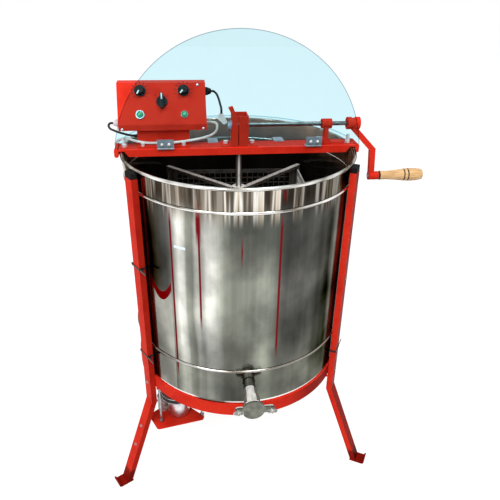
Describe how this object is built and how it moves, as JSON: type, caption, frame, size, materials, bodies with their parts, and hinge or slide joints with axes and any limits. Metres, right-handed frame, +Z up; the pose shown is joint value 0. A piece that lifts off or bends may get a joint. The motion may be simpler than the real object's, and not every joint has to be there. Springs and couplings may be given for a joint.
{
  "type": "honey extractor",
  "caption": "Honey extractor: steel drum on splayed tube legs, mesh frame basket, geared side crank, leaning control box, clear hinged lid and swing-flap honey gate.",
  "frame": {"origin": "bottom centre of the whole machine's box, on the floor", "axes": "+Z up, front with the gate towards -Y, crank towards +X"},
  "size_m": [0.828, 0.7524, 1.1447],
  "materials": {
    "stainless": "mirror polished",
    "red": "gloss paint",
    "zinc": "bright zinc",
    "clear": "clear sheet",
    "black": "satin",
    "green": "gloss",
    "chrome": "chrome",
    "wood": "turned, varnished",
    "rubber": "matt",
    "pale": "satin",
    "aluminium": "cast"
  },
  "bodies": {
    "stand": {"bar_bolts": "zinc", "base_cross": "red", "base_hoop": "red", "black_cables": "black", "box_back": "red", "box_stand": "red", "cable_glands": "black", "cable_plug": "pale", "cable_ties": "black", "clutch_switch": "zinc", "control_box": "red", "crossbar": "red", "drive_belt": "rubber", "drum_floor": "stainless", "drum_shell": "stainless", "foot_left": "red", "foot_rear": "red", "foot_right": "red", "gate_body": "stainless", "gear_bracket": "red", "gear_head": "aluminium", "hinge_fixed": "zinc", "leg_bolts": "zinc", "leg_left": "red", "leg_plugs": "black", "leg_rear": "red", "leg_right": "red", "motor_cable": "pale", "motor_can": "aluminium", "motor_plate": "red", "motor_rods": "zinc", "panel_bezels": "chrome", "pilot_lamp": "green", "rear_lid": "clear", "shaft_pedestal": "red"},
    "basket": {"basket_shaft": "stainless", "spider_top": "stainless", "spider_bottom": "stainless", "basket_posts": "stainless", "mesh_front": "stainless", "mesh_rear": "stainless", "mesh_left": "stainless", "mesh_right": "stainless", "bevel_pinion": "zinc", "driven_pulley": "zinc"},
    "crank": {"crank_shaft": "zinc", "bevel_gear": "zinc", "crank_arm": "red", "grip_spindle": "zinc"},
    "grip": {"crank_grip": "wood"},
    "lid": {"front_lid": "clear", "hinge_moving": "zinc"},
    "speed_pot": {"speed_knob": "black"},
    "timer_pot": {"timer_knob": "black"},
    "selector": {"selector_knob": "black"},
    "start": {"start_button": "green"},
    "flap": {"gate_flap": "stainless"},
    "left_nut": {"wing_nut_left": "stainless"},
    "right_nut": {"wing_nut_right": "stainless"},
    "motor_wheel": {"motor_pulley": "zinc"}
  },
  "joints": [
    {"name": "basket_spin", "type": "hinge", "parent": "stand", "child": "basket", "pos_m": [-0.054, -0.02964, 0.375], "axis": [0, 0, 1], "continuous": true},
    {"name": "crank_spin", "type": "hinge", "parent": "stand", "child": "crank", "pos_m": [-0.054, -0.02964, 0.933], "axis": [1, 0, 0], "continuous": true},
    {"name": "grip_spin", "type": "hinge", "parent": "crank", "child": "grip", "pos_m": [0.299, -0.02964, 0.799], "axis": [1, 0, 0], "continuous": true},
    {"name": "lid_hinge", "type": "hinge", "parent": "stand", "child": "lid", "pos_m": [-0.054, -0.05914, 0.8882], "axis": [1, 0, 0], "range_deg": [0, 90]},
    {"name": "speed_turn", "type": "hinge", "parent": "stand", "child": "speed_pot", "pos_m": [-0.277, 0.00009, 1.00621], "axis": [0, -0.8858, 0.464], "range_deg": [-135, 135]},
    {"name": "timer_turn", "type": "hinge", "parent": "stand", "child": "timer_pot", "pos_m": [-0.179, 0.00009, 1.00621], "axis": [0, -0.8858, 0.464], "range_deg": [-135, 135]},
    {"name": "selector_turn", "type": "hinge", "parent": "stand", "child": "selector", "pos_m": [-0.229, -0.01151, 0.98406], "axis": [0, -0.8858, 0.464], "range_deg": [-45, 45]},
    {"name": "start_press", "type": "slide", "parent": "stand", "child": "start", "axis": [0, 0.8858, -0.464], "range_m": [0, 0.002], "stiffness_N_per_m": 200, "springref_m": -0.002},
    {"name": "flap_swing", "type": "hinge", "parent": "stand", "child": "flap", "pos_m": [-0.0105, -0.36064, 0.365], "axis": [0, 1, 0], "range_deg": [0, 95]},
    {"name": "left_nut_turn", "type": "hinge", "parent": "stand", "child": "left_nut", "pos_m": [-0.0875, -0.36064, 0.365], "axis": [0, -1, 0], "continuous": true},
    {"name": "right_nut_turn", "type": "hinge", "parent": "stand", "child": "right_nut", "pos_m": [-0.0105, -0.36064, 0.365], "axis": [0, -1, 0], "continuous": true},
    {"name": "motor_spin", "type": "hinge", "parent": "stand", "child": "motor_wheel", "pos_m": [-0.229, -0.14264, 0.23], "axis": [0, 0, 1], "continuous": true}
  ],
  "couplings": [
    {"joint": "crank_spin", "follows": "basket_spin", "ratio": 0.5},
    {"joint": "motor_spin", "follows": "basket_spin", "ratio": 1.1395}
  ]
}
